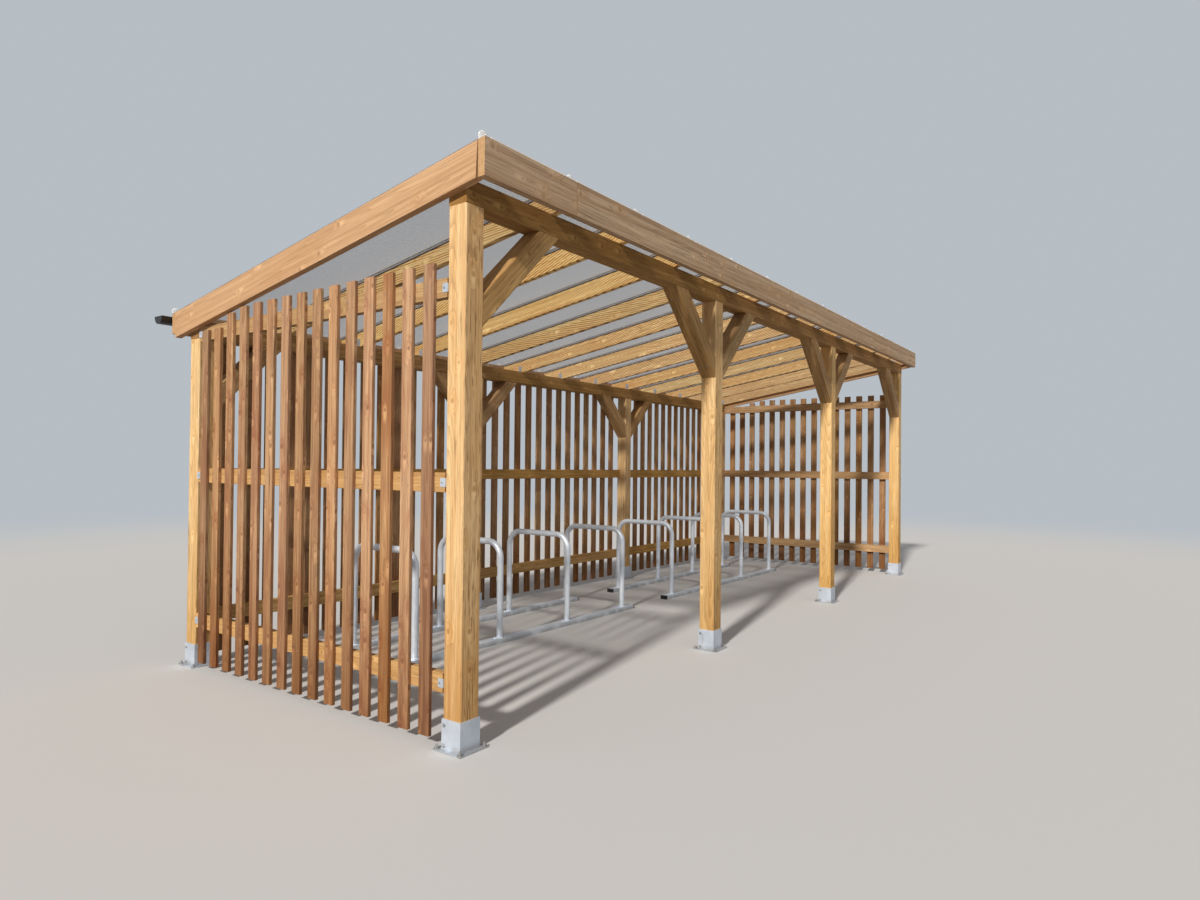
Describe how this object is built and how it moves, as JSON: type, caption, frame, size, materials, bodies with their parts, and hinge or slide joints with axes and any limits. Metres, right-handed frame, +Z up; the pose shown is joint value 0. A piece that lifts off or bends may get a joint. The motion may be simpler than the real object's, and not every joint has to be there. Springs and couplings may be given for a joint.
{
  "type": "timber bike shelter with a clear mono-pitch roof, slatted screens and hoop racks",
  "caption": "Timber cycle shelter: posts on steel shoes, braced beams, a clear roof falling to a rear gutter, slatted end and rear screens, and free-standing racks of hoops.",
  "frame": {"origin": "middle of the whole footprint, on the ground", "axes": "+X along the length, from the near end in the picture to the far end, +Y from the open front to the slatted rear, +Z up"},
  "size_m": [8.305, 3.241, 3.0524],
  "materials": {
    "post_wood": "sawn softwood, sun-bleached, with knots and drying cracks",
    "beam_wood": "sawn softwood, golden brown",
    "rafter_wood": "sawn softwood, golden yellow",
    "fascia_wood": "planed softwood, pinkish brown, weathered",
    "rail_wood": "sawn softwood",
    "slat_wood": "sawn softwood, red-brown, each board its own shade",
    "galvanised": "matt galvanised steel",
    "rack_steel": "matt galvanised steel tube",
    "clear_sheet": "translucent, the sheets ribbed multiwall, the glazing bars smooth",
    "white_plastic": "white capping",
    "black_plastic": "black moulded plastic"
  },
  "bodies": {
    "root": {"front_post_1": "post_wood", "front_post_2": "post_wood", "front_post_3": "post_wood", "front_post_4": "post_wood", "rear_post_1": "post_wood", "rear_post_2": "post_wood", "rear_post_3": "post_wood", "rear_post_4": "post_wood", "front_shoes": "galvanised", "rear_shoes": "galvanised", "front_beam_near": "beam_wood", "front_beam_far": "beam_wood", "rear_beam_near": "beam_wood", "rear_beam_far": "beam_wood", "front_braces": "beam_wood", "rear_braces": "beam_wood", "rafters": "rafter_wood", "front_fascia_short": "fascia_wood", "front_fascia_long": "fascia_wood", "near_fascia": "fascia_wood", "far_fascia": "fascia_wood", "rear_fascia": "fascia_wood", "roof_sheets": "clear_sheet", "glazing_bars": "clear_sheet", "bar_end_caps": "white_plastic", "sheet_trims": "white_plastic", "gutter": "black_plastic", "near_bottom_rail": "rail_wood", "near_mid_rail": "rail_wood", "near_top_rail": "rail_wood", "far_bottom_rail": "rail_wood", "far_mid_rail": "rail_wood", "far_top_rail": "rail_wood", "rear_bottom_rails": "rail_wood", "rear_mid_rails": "rail_wood", "near_slats": "slat_wood", "far_slats": "slat_wood", "rear_slats_1": "slat_wood", "rear_slats_2": "slat_wood", "rear_slats_3": "slat_wood", "rail_brackets": "galvanised", "rafter_clips": "galvanised", "rack_1_base": "rack_steel", "rack_2_base": "rack_steel", "rack_1_hoops": "rack_steel", "rack_2_hoops": "rack_steel", "rack_end_plugs": "black_plastic"}
  },
  "joints": []
}
